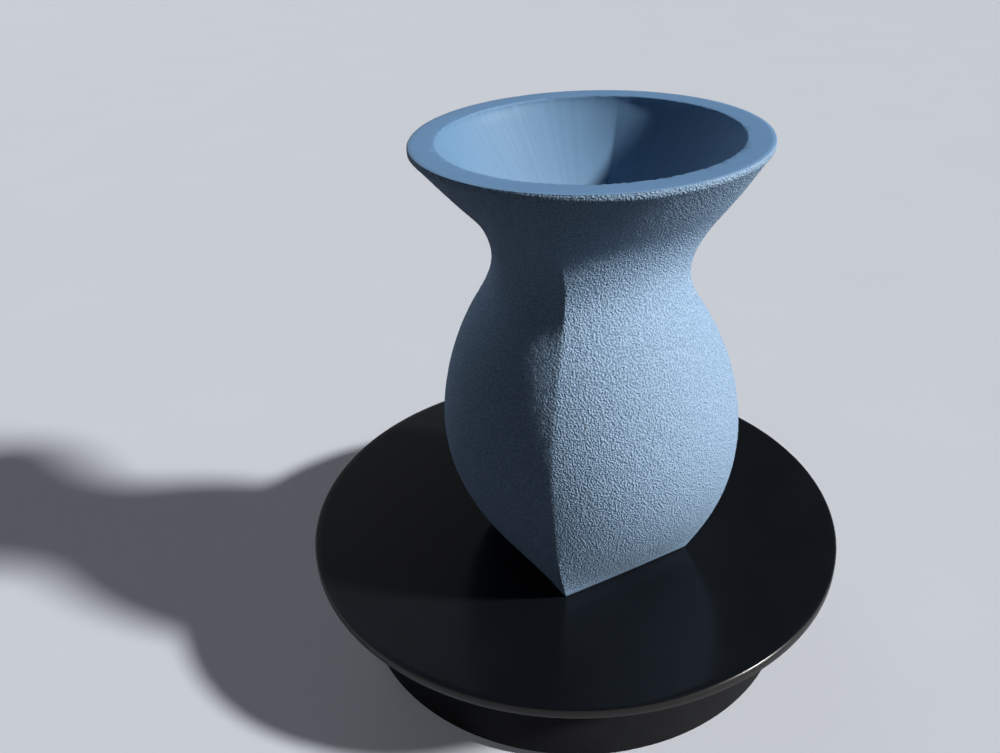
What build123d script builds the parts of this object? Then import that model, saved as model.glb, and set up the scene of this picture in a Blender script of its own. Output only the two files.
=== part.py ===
"""Square-to-round vase standing on a round black glass display turntable.

Millimetres, +Z up. The origin is the centre of the turntable's footprint, on the surface
that its rubber feet stand on. The front is -Y. The plate turns on a ball thrust bearing
about Z, held down by a central spindle, and the vase stands loose on the plate.
"""

import os
from math import sqrt

from build123d import *

# ---------------------------------------------------------------- driving dimensions
# Vase: one printed shell with a thick wall, a flat floor and a flat round lip.
vase_height = 198.0
vase_wall = 11.0  # between the outer and inner corner radius, at every height
vase_floor = 8.0
vase_turn = -13.5  # of the square foot's corners from the X and Y axes, in degrees
vase_centre = (8.5, -20.0)  # where it stands on the plate
foot_radius = 47.5  # centre to corner of the square foot
belly_radius = 67.0
neck_radius = 42.5
lip_radius = 71.0
belly_height = 71.0
neck_height = 145.0
lip_band = 2.2  # upright band below the lip's flat top
lip_rounding = 0.8

# Glass plate.
plate_radius = 130.0
plate_thickness = 6.0
plate_top_chamfer = 0.8
plate_bottom_chamfer = 1.6

# Pads that the glass lies on, sunk in the carrier.
pad_count = 6
pad_radius = 9.0
pad_circle = 84.0
pad_sunk = 1.0
pad_proud = 1.0

# Carrier, the disc under the glass.
carrier_radius = 100.0
carrier_thickness = 6.0
carrier_rounding = 1.5
race_boss_height = 3.0

# Ball thrust bearing.
ball_count = 24
ball_radius = 3.0
ball_circle = 54.0
race_inner_radius = 46.0
race_outer_radius = 66.0
race_thickness = 4.2
race_gap = 3.6
cage_width = 10.0
cage_thickness = 1.6
ball_clearance = 0.25
cage_clearance = 0.25

# Spindle, its bush and what keeps it in.
shaft_radius = 6.0
flange_radius = 20.0
flange_thickness = 4.0
spigot_radius = 8.0
spigot_height = 2.0
thread_radius = 4.0
bush_wall = 2.0
bush_flange_radius = 11.0
bush_flange_thickness = 1.5
washer_radius = 11.0
washer_thickness = 1.6
nut_across_flats = 13.0
nut_height = 6.5
thread_tail = 0.5
end_float = 0.2
shaft_clearance = 0.03

# Base housing.
housing_foot_radius = 108.0
housing_top_radius = 104.0
housing_wall = 3.0
housing_rounding = 2.5
hub_radius = 15.0
hub_length = 14.0
well_radius = 70.0
well_floor = 4.0
rib_count = 8
rib_thickness = 2.4
rib_depth = 6.0
post_count = 4
post_radius = 5.0
post_circle = 97.0

# Closing the base.
cover_thickness = 2.5
cover_clearance = 0.6
ballast_inner_radius = 55.0
ballast_outer_radius = 90.0
ballast_height = 10.0
ballast_screw_circle = 72.0
foot_count = 4
foot_pad_radius = 10.0
foot_pad_top_radius = 11.0
foot_pad_height = 4.0
foot_pad_circle = 86.0

# Screws: shank radius, head radius, head height, length under the head.
small_screw = (1.5, 2.8, 1.3, 6.7)  # countersunk, for the races
flange_screw = (2.0, 3.6, 2.2, 8.0)  # pan head, for the spindle's flange
cover_screw = (1.75, 3.4, 1.8, 11.0)  # pan head, for the bottom cover
ballast_screw = (2.0, 3.6, 1.8, 9.0)  # pan head, through the cover into the ballast
race_screw_count = 6
race_screw_circle = 61.5
flange_screw_count = 4
flange_screw_circle = 14.0
ballast_screw_count = 4

# General clearances.
thread_clearance = 0.05  # a screw in its own hole
spigot_clearance = 0.05
turning_gap = 1.6  # between the carrier and the fixed deck
spindle_end_gap = 0.8  # above the bottom cover

# ---------------------------------------------------------------- heights, from the feet up
cover_bottom = foot_pad_height
cover_top = cover_bottom + cover_thickness
spindle_end = cover_top + spindle_end_gap
nut_bottom = spindle_end + thread_tail
washer_bottom = nut_bottom + nut_height
shoulder = washer_bottom + washer_thickness
hub_bottom = shoulder + end_float
well_top = hub_bottom + hub_length
lower_race_top = well_top + race_thickness
ball_height = lower_race_top + race_gap / 2
upper_race_bottom = lower_race_top + race_gap
upper_race_top = upper_race_bottom + race_thickness
carrier_bottom = upper_race_top + race_boss_height
carrier_top = carrier_bottom + carrier_thickness
deck_top = carrier_bottom - turning_gap
deck_bottom = deck_top - housing_wall
flange_bottom = carrier_bottom - flange_thickness
plate_bottom = carrier_top + pad_proud
plate_top = plate_bottom + plate_thickness

# Shape of the vase: centre-to-corner radius, roundness and height above its foot. The
# roundness is the middle of a side over its corner: sqrt(1/2) is a true square and 1 a circle.
band_height = vase_height - lip_band
vase_stations = [
    (foot_radius, sqrt(0.5) + 0.005, 0.0),
    (0.35 * foot_radius + 0.65 * belly_radius, 0.86, 0.37 * belly_height),
    (belly_radius, 0.965, belly_height),
    (0.8 * belly_radius + 0.2 * neck_radius, 0.955, 0.62 * belly_height + 0.38 * neck_height),
    (0.37 * belly_radius + 0.63 * neck_radius, 0.93, 0.3 * belly_height + 0.7 * neck_height),
    (neck_radius, 0.87, neck_height),
    (0.84 * neck_radius + 0.16 * lip_radius, 0.845, 0.73 * neck_height + 0.27 * band_height),
    (0.44 * neck_radius + 0.56 * lip_radius, 0.9, 0.41 * neck_height + 0.59 * band_height),
    (lip_radius, 1.0, band_height),
]
section_count = 22


def turned(outline):
    """Face in the XZ plane inside this (radius, height) outline, to be revolved about Z."""
    with BuildSketch(Plane.XZ) as face:
        with BuildLine():
            Polyline(*outline, close=True)
        make_face()
    return face.sketch


def ring_outline(inner, outer, bottom, top):
    """Outline of a plain ring."""
    return [(inner, bottom), (outer, bottom), (outer, top), (inner, top)]


def rounded_square(plane, corner_radius, roundness):
    """Four equal bowed sides that meet at four corners, on this plane. Each side is the cubic
    that follows the circular arc through its two corners and its middle."""
    chord = corner_radius * sqrt(2)
    bow = corner_radius * (roundness - sqrt(0.5))
    along = chord / 3 * (1 - (2 * bow / chord) ** 2)
    with BuildSketch(plane) as face:
        with BuildLine():
            for side in range(4):
                corner = Vector(corner_radius, 0).rotate(Axis.Z, 90 * side)
                forward = Vector(-1, 1).normalized().rotate(Axis.Z, 90 * side)
                outward = Vector(1, 1).normalized().rotate(Axis.Z, 90 * side)
                first = corner + forward * along + outward * (bow * 4 / 3)
                second = corner + forward * (chord - along) + outward * (bow * 4 / 3)
                Bezier(corner, first, second, corner + forward * chord)
        make_face()
    return face.sketch


def vase_body(inset):
    """The vase's solid, drawn in by this much at every corner, with the lip's upright band."""
    with BuildLine() as shape:
        Spline([(radius, 100 * roundness, height) for radius, roundness, height in vase_stations])
    sections = []
    for step in range(section_count + 1):
        radius, roundness, height = shape.line @ (step / section_count)
        plane = vase_plane.offset(height)
        sections.append(rounded_square(plane, radius - inset, roundness / 100))
    return loft(sections) + extrude(sections[-1], amount=lip_band)


def screw(head_plane, shank, head, head_height, length, countersunk=False):
    """Screw along the plane's normal: its shank goes forward from the plane. A pan head sits
    behind the plane, and a countersunk head is sunk in front of it, flush."""
    with BuildPart(head_plane) as made:
        if countersunk:
            Cone(
                head - thread_clearance,
                shank - thread_clearance,
                head_height,
                align=(Align.CENTER, Align.CENTER, Align.MIN),
            )
            with BuildSketch(head_plane.offset(head_height)):
                Circle(shank - thread_clearance)
            extrude(amount=length)
            with BuildSketch(head_plane):
                RegularPolygon(shank * 0.75, 6)
            extrude(amount=head_height * 0.7, mode=Mode.SUBTRACT)
        else:
            with BuildSketch(head_plane):
                Circle(shank - thread_clearance)
            extrude(amount=length)
            with BuildSketch(head_plane):
                Circle(head)
            extrude(amount=-head_height)
            fillet(made.edges().sort_by(Axis((0, 0, 0), head_plane.z_dir))[0], head_height * 0.45)
            with BuildSketch(head_plane.offset(-head_height)):
                RegularPolygon(shank, 6)
            extrude(amount=head_height * 0.6, mode=Mode.SUBTRACT)
    return made.part


def circles_of(piece, radius):
    """The circular edges of a piece that have this radius."""
    rounds = piece.edges().filter_by(GeomType.CIRCLE)
    return rounds.filter_by(lambda edge: abs(edge.radius - radius) < 0.01)


def on_circle(shape, count, start=0.0):
    """Copies of a shape, evenly turned about Z. The first is turned by start degrees."""
    return [Rot(0, 0, start + copy * 360 / count) * shape for copy in range(count)]


# ---------------------------------------------------------------- vase
vase_plane = Plane(origin=(*vase_centre, plate_top)).rotated((0, 0, vase_turn))
vase_hollow = split(vase_body(vase_wall), bisect_by=vase_plane.offset(vase_floor), keep=Keep.TOP)

with BuildPart() as vase:
    add(vase_body(0))
    fillet(vase.edges().group_by(Axis.Z)[-1], lip_rounding)
    add(vase_hollow, mode=Mode.SUBTRACT)

# ---------------------------------------------------------------- turning group
with BuildPart() as glass_plate:
    with BuildSketch(Plane.XY.offset(plate_bottom)):
        Circle(plate_radius)
    extrude(amount=plate_thickness)
    chamfer(glass_plate.edges().sort_by(Axis.Z)[-1], plate_top_chamfer)
    chamfer(glass_plate.edges().sort_by(Axis.Z)[0], plate_bottom_chamfer)

with BuildPart() as plate_pads:
    with BuildSketch(Plane.XY.offset(carrier_top - pad_sunk)):
        with PolarLocations(pad_circle, pad_count):
            Circle(pad_radius)
    extrude(amount=pad_sunk + pad_proud)

with BuildPart() as plate_carrier:
    revolve(
        turned(
            [
                (0, carrier_bottom),
                (race_inner_radius, carrier_bottom),
                (race_inner_radius, upper_race_top),
                (race_outer_radius, upper_race_top),
                (race_outer_radius, carrier_bottom),
                (carrier_radius, carrier_bottom),
                (carrier_radius, carrier_top),
                (0, carrier_top),
            ]
        ),
        axis=Axis.Z,
    )
    fillet(circles_of(plate_carrier, carrier_radius), carrier_rounding)
    with BuildSketch(Plane.XY.offset(carrier_top)):
        with PolarLocations(pad_circle, pad_count):
            Circle(pad_radius)
    extrude(amount=-pad_sunk, mode=Mode.SUBTRACT)
    with BuildSketch(Plane.XY.offset(carrier_bottom)):
        Circle(spigot_radius + spigot_clearance)
    extrude(amount=spigot_height + spigot_clearance, mode=Mode.SUBTRACT)
    with BuildSketch(Plane.XY.offset(carrier_bottom)):
        with PolarLocations(flange_screw_circle, flange_screw_count):
            Circle(flange_screw[0])
    extrude(amount=flange_screw[3] - flange_thickness + spigot_clearance, mode=Mode.SUBTRACT)
    with BuildSketch(Plane.XY.offset(upper_race_top)):
        with PolarLocations(race_screw_circle, race_screw_count):
            Circle(small_screw[0])
    extrude(amount=small_screw[2] + small_screw[3] - race_thickness + 0.5, mode=Mode.SUBTRACT)

with BuildPart() as spindle:
    revolve(
        turned(
            [
                (0, spindle_end),
                (thread_radius, spindle_end),
                (thread_radius, shoulder),
                (shaft_radius, shoulder),
                (shaft_radius, flange_bottom),
                (flange_radius, flange_bottom),
                (flange_radius, carrier_bottom),
                (spigot_radius, carrier_bottom),
                (spigot_radius, carrier_bottom + spigot_height),
                (0, carrier_bottom + spigot_height),
            ]
        ),
        axis=Axis.Z,
    )
    with BuildSketch(Plane.XY.offset(flange_bottom)):
        with PolarLocations(flange_screw_circle, flange_screw_count):
            Circle(flange_screw[0])
    extrude(amount=flange_thickness, mode=Mode.SUBTRACT)
    chamfer(spindle.edges().sort_by(Axis.Z)[0], 0.5)

with BuildPart() as spindle_screws:
    upward = Plane.XY.offset(flange_bottom).shift_origin((flange_screw_circle, 0, flange_bottom))
    add(on_circle(screw(upward, *flange_screw), flange_screw_count))

with BuildPart() as spindle_washer:
    revolve(
        turned(ring_outline(thread_radius + shaft_clearance, washer_radius, washer_bottom, shoulder)),
        axis=Axis.Z,
    )

with BuildPart() as spindle_nut:
    with BuildSketch(Plane.XY.offset(nut_bottom)):
        RegularPolygon(nut_across_flats / 2, 6, major_radius=False)
        Circle(thread_radius + shaft_clearance, mode=Mode.SUBTRACT)
    extrude(amount=nut_height)


def race(bottom, top, screws_from):
    """One race ring with its ball groove and the countersunk holes of its screws."""
    with BuildPart() as ring:
        revolve(turned(ring_outline(race_inner_radius, race_outer_radius, bottom, top)), axis=Axis.Z)
        with BuildSketch(Plane.XZ):
            with Locations((ball_circle, ball_height)):
                Circle(ball_radius + ball_clearance)
        revolve(axis=Axis.Z, mode=Mode.SUBTRACT)
        with Locations(screws_from):
            with PolarLocations(race_screw_circle, race_screw_count):
                CounterSinkHole(small_screw[0], small_screw[1], race_thickness, counter_sink_angle=90)
    return ring.part


lower_race_face = Plane.XY.offset(lower_race_top)
upper_race_face = Plane(origin=(0, 0, upper_race_bottom), x_dir=(1, 0, 0), z_dir=(0, 0, -1))

with BuildPart() as upper_race:
    add(race(upper_race_bottom, upper_race_top, upper_race_face))

with BuildPart() as upper_race_screws:
    upward = Plane.XY.offset(upper_race_bottom).shift_origin((race_screw_circle, 0, upper_race_bottom))
    add(on_circle(screw(upward, *small_screw, countersunk=True), race_screw_count))

# ---------------------------------------------------------------- ball cage, at half speed
with BuildPart() as ball_cage:
    cage_bottom = ball_height - cage_thickness / 2
    with BuildSketch(Plane.XY.offset(cage_bottom)):
        Circle(ball_circle + cage_width / 2)
        Circle(ball_circle - cage_width / 2, mode=Mode.SUBTRACT)
        with PolarLocations(ball_circle, ball_count):
            Circle(ball_radius + cage_clearance, mode=Mode.SUBTRACT)
    extrude(amount=cage_thickness)

with BuildPart() as bearing_balls:
    with Locations((0, 0, ball_height)):
        with PolarLocations(ball_circle, ball_count):
            Sphere(ball_radius)

# ---------------------------------------------------------------- base
with BuildPart() as lower_race:
    add(race(well_top, lower_race_top, lower_race_face))

with BuildPart() as lower_race_screws:
    downward = Plane(origin=(race_screw_circle, 0, lower_race_top), x_dir=(1, 0, 0), z_dir=(0, 0, -1))
    add(on_circle(screw(downward, *small_screw, countersunk=True), race_screw_count))

bush_radius = shaft_radius + shaft_clearance + bush_wall
well_bottom = well_top - well_floor
inner_foot_radius = housing_foot_radius - housing_wall
inner_top_radius = housing_top_radius - housing_wall

with BuildPart() as base_housing:
    revolve(
        turned(
            [
                (bush_radius, hub_bottom),
                (hub_radius, hub_bottom),
                (hub_radius, well_bottom),
                (well_radius + housing_wall, well_bottom),
                (well_radius + housing_wall, deck_bottom),
                (inner_top_radius, deck_bottom),
                (inner_foot_radius, cover_bottom),
                (housing_foot_radius, cover_bottom),
                (housing_top_radius, deck_top),
                (well_radius, deck_top),
                (well_radius, well_top),
                (bush_radius, well_top),
            ]
        ),
        axis=Axis.Z,
    )
    fillet(circles_of(base_housing, housing_top_radius), housing_rounding)
    with BuildSketch(Plane.XY.offset(cover_top)):
        with PolarLocations(post_circle, post_count):
            Circle(post_radius)
            with Locations((post_radius / 2 + 1.0, 0)):
                Rectangle(post_radius, housing_wall)
    extrude(amount=deck_top - housing_wall / 2 - cover_top)
    with BuildSketch(Plane.XY.offset(well_bottom - rib_depth)):
        with PolarLocations((hub_radius + well_radius) / 2, rib_count):
            Rectangle(well_radius - hub_radius + housing_wall, rib_thickness)
    extrude(amount=rib_depth + well_floor / 2)
    with BuildSketch(Plane.XY.offset(cover_top)):
        with PolarLocations(post_circle, post_count):
            Circle(cover_screw[0])
    extrude(amount=cover_screw[3], mode=Mode.SUBTRACT)
    with BuildSketch(Plane.XY.offset(well_top)):
        with PolarLocations(race_screw_circle, race_screw_count):
            Circle(small_screw[0])
    extrude(amount=-(well_floor + rib_depth), mode=Mode.SUBTRACT)

with BuildPart() as spindle_bush:
    bush_bore = shaft_radius + shaft_clearance
    revolve(
        turned(
            [
                (bush_bore, hub_bottom),
                (bush_radius, hub_bottom),
                (bush_radius, well_top),
                (bush_flange_radius, well_top),
                (bush_flange_radius, well_top + bush_flange_thickness),
                (bush_bore, well_top + bush_flange_thickness),
            ]
        ),
        axis=Axis.Z,
    )

with BuildPart() as ballast_ring:
    revolve(
        turned(
            ring_outline(ballast_inner_radius, ballast_outer_radius, cover_top, cover_top + ballast_height)
        ),
        axis=Axis.Z,
    )
    chamfer(ballast_ring.edges().group_by(Axis.Z)[-1], 1.0)
    with BuildSketch(Plane.XY.offset(cover_top)):
        with PolarLocations(ballast_screw_circle, ballast_screw_count):
            Circle(ballast_screw[0])
    extrude(amount=ballast_screw[3], mode=Mode.SUBTRACT)

half_screw_turn = 180 / post_count

with BuildPart() as bottom_cover:
    with BuildSketch(Plane.XY.offset(cover_bottom)):
        Circle(inner_foot_radius - cover_clearance)
        with PolarLocations(post_circle, post_count):
            Circle(cover_screw[0], mode=Mode.SUBTRACT)
        with PolarLocations(ballast_screw_circle, ballast_screw_count):
            Circle(ballast_screw[0], mode=Mode.SUBTRACT)
    extrude(amount=cover_thickness)

with BuildPart() as cover_screws:
    upward = Plane.XY.offset(cover_bottom).shift_origin((post_circle, 0, cover_bottom))
    add(on_circle(screw(upward, *cover_screw), post_count))

with BuildPart() as ballast_screws:
    upward = Plane.XY.offset(cover_bottom).shift_origin((ballast_screw_circle, 0, cover_bottom))
    add(on_circle(screw(upward, *ballast_screw), ballast_screw_count))

with BuildPart() as feet:
    with PolarLocations(foot_pad_circle, foot_count, start_angle=half_screw_turn):
        Cone(
            foot_pad_radius,
            foot_pad_top_radius,
            foot_pad_height,
            align=(Align.CENTER, Align.CENTER, Align.MIN),
        )

# ---------------------------------------------------------------- export
pieces = {
    "vase": vase,
    "glass_plate": glass_plate,
    "plate_pads": plate_pads,
    "plate_carrier": plate_carrier,
    "spindle": spindle,
    "spindle_screws": spindle_screws,
    "spindle_washer": spindle_washer,
    "spindle_nut": spindle_nut,
    "upper_race": upper_race,
    "upper_race_screws": upper_race_screws,
    "ball_cage": ball_cage,
    "bearing_balls": bearing_balls,
    "lower_race": lower_race,
    "lower_race_screws": lower_race_screws,
    "base_housing": base_housing,
    "spindle_bush": spindle_bush,
    "ballast_ring": ballast_ring,
    "ballast_screws": ballast_screws,
    "bottom_cover": bottom_cover,
    "cover_screws": cover_screws,
    "feet": feet,
}

os.makedirs("parts", exist_ok=True)
for name, piece in pieces.items():
    piece.part.label = name
    export_step(piece.part, f"parts/{name}.step")
    print(name, "solids", len(piece.part.solids()), "volume", round(piece.part.volume))
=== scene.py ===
"""A printed vase on a round black glass display turntable: the looks around its CAD frame."""

import math

import bpy
import numpy as np
from mathutils import Matrix, Vector


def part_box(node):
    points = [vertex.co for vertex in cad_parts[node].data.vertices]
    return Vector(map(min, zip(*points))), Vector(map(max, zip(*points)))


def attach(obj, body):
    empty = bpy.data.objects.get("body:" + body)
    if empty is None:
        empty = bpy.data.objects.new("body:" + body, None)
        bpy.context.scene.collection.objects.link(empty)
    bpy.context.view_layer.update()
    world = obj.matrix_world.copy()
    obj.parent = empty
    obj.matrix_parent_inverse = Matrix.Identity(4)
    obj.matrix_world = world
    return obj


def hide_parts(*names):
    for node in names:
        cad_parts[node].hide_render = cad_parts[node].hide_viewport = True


bl_info = {
    "name": "Printed vase on a turntable",
    "version": (1, 0, 0),
    "blender": (4, 5, 0),
    "location": "3D View > Sidebar > Vase",
    "description": "Builds the grainy blue vase, the black glass plate and the turning stand under it",
    "category": "Object",
}

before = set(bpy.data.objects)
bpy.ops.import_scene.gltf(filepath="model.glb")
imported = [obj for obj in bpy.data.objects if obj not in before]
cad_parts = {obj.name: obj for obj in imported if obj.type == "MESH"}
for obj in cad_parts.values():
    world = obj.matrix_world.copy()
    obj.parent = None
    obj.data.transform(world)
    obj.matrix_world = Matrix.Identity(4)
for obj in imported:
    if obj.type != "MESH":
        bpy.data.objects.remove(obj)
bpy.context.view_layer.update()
vase_low, vase_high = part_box("vase")
plate_low, plate_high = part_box("glass_plate")

SQUARE = math.sqrt(0.5)  # the roundness of a square: the middle of its side over its corner


# ---------------------------------------------------------------- node helpers
class Value:
    """A socket of a node tree that can be added, multiplied and so on in Python."""

    def __init__(self, nodes, socket):
        self.nodes = nodes
        self.socket = socket

    def _maths(self, operation, first, second=0.0):
        return self.nodes.add("ShaderNodeMath", {"operation": operation}, {0: first, 1: second})

    def __add__(self, other):
        return self._maths("ADD", self, other)

    __radd__ = __add__

    def __sub__(self, other):
        return self._maths("SUBTRACT", self, other)

    def __rsub__(self, other):
        return self._maths("SUBTRACT", other, self)

    def __mul__(self, other):
        return self._maths("MULTIPLY", self, other)

    def __truediv__(self, other):
        return self._maths("DIVIDE", self, other)

    def __pow__(self, other):
        return self._maths("POWER", self, other)

    def __mod__(self, other):
        return self._maths("FLOORED_MODULO", self, other)

    def floor(self):
        return self._maths("FLOOR", self)

    def sine(self):
        return self._maths("SINE", self)


class Nodes:
    """A node tree that is added to node by node."""

    def __init__(self, tree):
        self.tree = tree

    def add(self, kind, settings=None, inputs=None, output=0):
        """A node of this kind. Settings are made first, then its sockets get values or links."""
        node = self.tree.nodes.new(kind)
        for key, value in (settings or {}).items():
            setattr(node, key, value)
        for key, value in (inputs or {}).items():
            self.put(value, node.inputs[key])
        return Value(self, node.outputs[output])

    def put(self, value, socket):
        """Links a Value to a socket, or sets the socket to a plain value."""
        if isinstance(value, Value):
            self.tree.links.new(value.socket, socket)
        else:
            socket.default_value = value

    def vector(self, operation, first, second=(0.0, 0.0, 0.0), output=0):
        settings = {"operation": operation}
        return self.add("ShaderNodeVectorMath", settings, {0: first, 1: second}, output)

    def scaled(self, vector, factor):
        settings = {"operation": "SCALE"}
        return self.add("ShaderNodeVectorMath", settings, {0: vector, "Scale": factor})

    def split(self, vector):
        node = self.add("ShaderNodeSeparateXYZ", {}, {0: vector}).socket.node
        return [Value(self, socket) for socket in node.outputs]

    def joined(self, x, y, z):
        return self.add("ShaderNodeCombineXYZ", {}, {0: x, 1: y, 2: z})


def linear(colour):
    """A colour as a user writes it, as the four numbers that a shader socket takes."""
    return (*colour[:3], 1.0)


class Finish(Nodes):
    """A material built around one Principled shader."""

    def __init__(self, title, **constants):
        self.material = bpy.data.materials.new(title)
        self.material.use_nodes = True
        super().__init__(self.material.node_tree)
        self.shader = self.tree.nodes["Principled BSDF"]
        for name, value in constants.items():
            socket = name.replace("_", " ").title().replace("Ior", "IOR")
            self.shader.inputs[socket].default_value = value

    def places(self, centre=(0.0, 0.0, 0.0)):
        """Object coordinates, measured from this centre."""
        coordinates = self.add("ShaderNodeTexCoord", {}, {}, "Object")
        moved = tuple(-c for c in centre)
        return self.add("ShaderNodeMapping", {}, {"Vector": coordinates, "Location": moved})

    def noise(self, where, scale, detail=2.0, roughness=0.5):
        sizes = {"Vector": where, "Scale": scale, "Detail": detail, "Roughness": roughness}
        return self.add("ShaderNodeTexNoise", {}, sizes)

    def cells(self, where, scale):
        """The distance to the middle of the nearest of many random cells."""
        return self.add("ShaderNodeTexVoronoi", {}, {"Vector": where, "Scale": scale}, "Distance")

    def stepped(self, value, low, high):
        """0 where value is below low and 1 above high, and smooth between them."""
        settings = {"interpolation_type": "SMOOTHSTEP"}
        limits = {"Value": value, "From Min": low, "From Max": high}
        return self.add("ShaderNodeMapRange", settings, limits)

    def attribute(self, name):
        return self.add("ShaderNodeAttribute", {"attribute_name": name}, {}, "Fac")

    def mixed(self, share, first, second):
        """The first colour where share is 0, and the second where it is 1."""
        settings = {"data_type": "RGBA"}
        first = first if isinstance(first, Value) else linear(first)
        second = second if isinstance(second, Value) else linear(second)
        return self.add("ShaderNodeMix", settings, {0: share, 6: first, 7: second}, 2)

    def wear(self, colour, roughness):
        self.put(colour, self.shader.inputs["Base Color"])
        self.put(roughness, self.shader.inputs["Roughness"])

    def relief(self, height, distance, strength=1.0):
        """Raises the surface by height times this many metres."""
        inputs = {"Height": height, "Distance": distance, "Strength": strength}
        bump = self.add("ShaderNodeBump", {}, inputs)
        self.put(bump, self.shader.inputs["Normal"])


def scaled_colour(colour, factor):
    """The same hue, lighter or darker by this factor."""
    return tuple(c * factor for c in colour)


def new_mesh(name, points, faces):
    """An object at the origin with this mesh."""
    mesh = bpy.data.meshes.new(name)
    mesh.from_pydata([tuple(p) for p in points], [], faces)
    mesh.update()
    for polygon in mesh.polygons:
        polygon.use_smooth = True
    made = bpy.data.objects.new(name, mesh)
    bpy.context.scene.collection.objects.link(made)
    return made


def as_plain_mesh(source, name):
    """The evaluated mesh of an object with a Geometry Nodes modifier, as a new plain object."""
    bpy.context.view_layer.update()
    graph = bpy.context.evaluated_depsgraph_get()
    evaluated = source.evaluated_get(graph)
    mesh = bpy.data.meshes.new_from_object(evaluated, preserve_all_data_layers=True, depsgraph=graph)
    if not mesh.polygons:
        raise RuntimeError(f"{name} came out with no faces")
    mesh.name = name
    for modifier in list(source.modifiers):
        source.modifiers.remove(modifier)
    bpy.data.objects.remove(source)
    made = bpy.data.objects.new(name, mesh)
    bpy.context.scene.collection.objects.link(made)
    return made


def geometry_tree(name, inputs):
    """A Geometry Nodes tree with these inputs: (name, socket type, default)."""
    tree = bpy.data.node_groups.new(name, "GeometryNodeTree")
    face = tree.interface
    face.new_socket("Geometry", in_out="INPUT", socket_type="NodeSocketGeometry")
    for label, kind, default in inputs:
        socket = face.new_socket(label, in_out="INPUT", socket_type=kind)
        if default is not None:
            socket.default_value = default
    face.new_socket("Geometry", in_out="OUTPUT", socket_type="NodeSocketGeometry")
    nodes = Nodes(tree)
    entry = tree.nodes.new("NodeGroupInput")
    given = {socket.name: Value(nodes, socket) for socket in entry.outputs if socket.name}
    return nodes, given


def finish_tree(nodes, geometry, material):
    """Ends a tree: real geometry with its material."""
    real = nodes.add("GeometryNodeRealizeInstances", {}, {0: geometry})
    inputs = {"Geometry": real, "Material": material}
    painted = nodes.add("GeometryNodeSetMaterial", {}, inputs)
    leave = nodes.tree.nodes.new("NodeGroupOutput")
    nodes.put(painted, leave.inputs[0])


def run_tree(source, tree, values):
    """Puts the tree on an object as a modifier, with each input set by its identifier."""
    modifier = source.modifiers.new(tree.name, "NODES")
    modifier.node_group = tree
    for item in tree.interface.items_tree:
        if item.in_out == "INPUT" and item.name in values:
            modifier[item.identifier] = values[item.name]


def show(piece, body, nodes):
    """The piece rides on its body and stands for its CAD nodes, which are hidden."""
    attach(piece, body)
    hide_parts(*nodes)


def coat(node, material):
    """Puts a material on a CAD node that stays in view."""
    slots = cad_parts[node].data.materials
    slots.clear()
    slots.append(material)


# ---------------------------------------------------------------- turned shapes
def turned_mesh(name, rings, segments):
    """A closed turned piece. Each ring is (radius, height), or (radius, height, True) for a
    hexagon of that inner radius. Radius 0 makes a pole."""
    points, rows = [], []
    for ring in rings:
        radius, height = ring[0], ring[1]
        if radius == 0:
            rows.append([len(points)])
            points.append((0.0, 0.0, height))
            continue
        row = []
        for step in range(segments):
            angle = 2 * math.pi * step / segments
            reach = radius
            if len(ring) > 2:
                reach = radius / math.cos((angle + math.pi / 6) % (math.pi / 3) - math.pi / 6)
            row.append(len(points))
            points.append((reach * math.cos(angle), reach * math.sin(angle), height))
        rows.append(row)
    faces = []
    pairs = list(zip(rows, rows[1:]))
    if len(rows[0]) > 1:
        pairs.append((rows[-1], rows[0]))
    for lower, upper in pairs:
        for step in range(segments):
            after = (step + 1) % segments
            if len(lower) == 1 and len(upper) > 1:
                faces.append((lower[0], upper[after], upper[step]))
            elif len(upper) == 1 and len(lower) > 1:
                faces.append((lower[step], lower[after], upper[0]))
            elif len(lower) > 1:
                faces.append((lower[step], lower[after], upper[after], upper[step]))
    return new_mesh(name, points, faces)


def rounded_corner(corner, size, start, end, steps):
    """Points of a rounded edge between two directions away from a sharp corner."""
    arc = []
    for step in range(steps + 1):
        share = step / steps
        weight = (1 - share) ** 2, share**2
        x = corner[0] + size * (start[0] * weight[0] + end[0] * weight[1])
        z = corner[1] + size * (start[1] * weight[0] + end[1] * weight[1])
        arc.append((x, z))
    return arc


# ---------------------------------------------------------------- settings
def length(name, description, default):
    return bpy.props.FloatProperty(
        name=name, description=description, default=default, unit="LENGTH", precision=5
    )


def tint(name, description, default):
    return bpy.props.FloatVectorProperty(
        name=name, description=description, default=default, subtype="COLOR", size=3, min=0, max=1
    )


def angle(name, description, degrees):
    return bpy.props.FloatProperty(
        name=name, description=description, default=math.radians(degrees), unit="ROTATION"
    )


def strength(name, description, default):
    return bpy.props.FloatProperty(name=name, description=description, default=default, min=0)


def count(name, description, default, low, high):
    return bpy.props.IntProperty(
        name=name, description=description, default=default, min=low, max=high
    )


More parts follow.
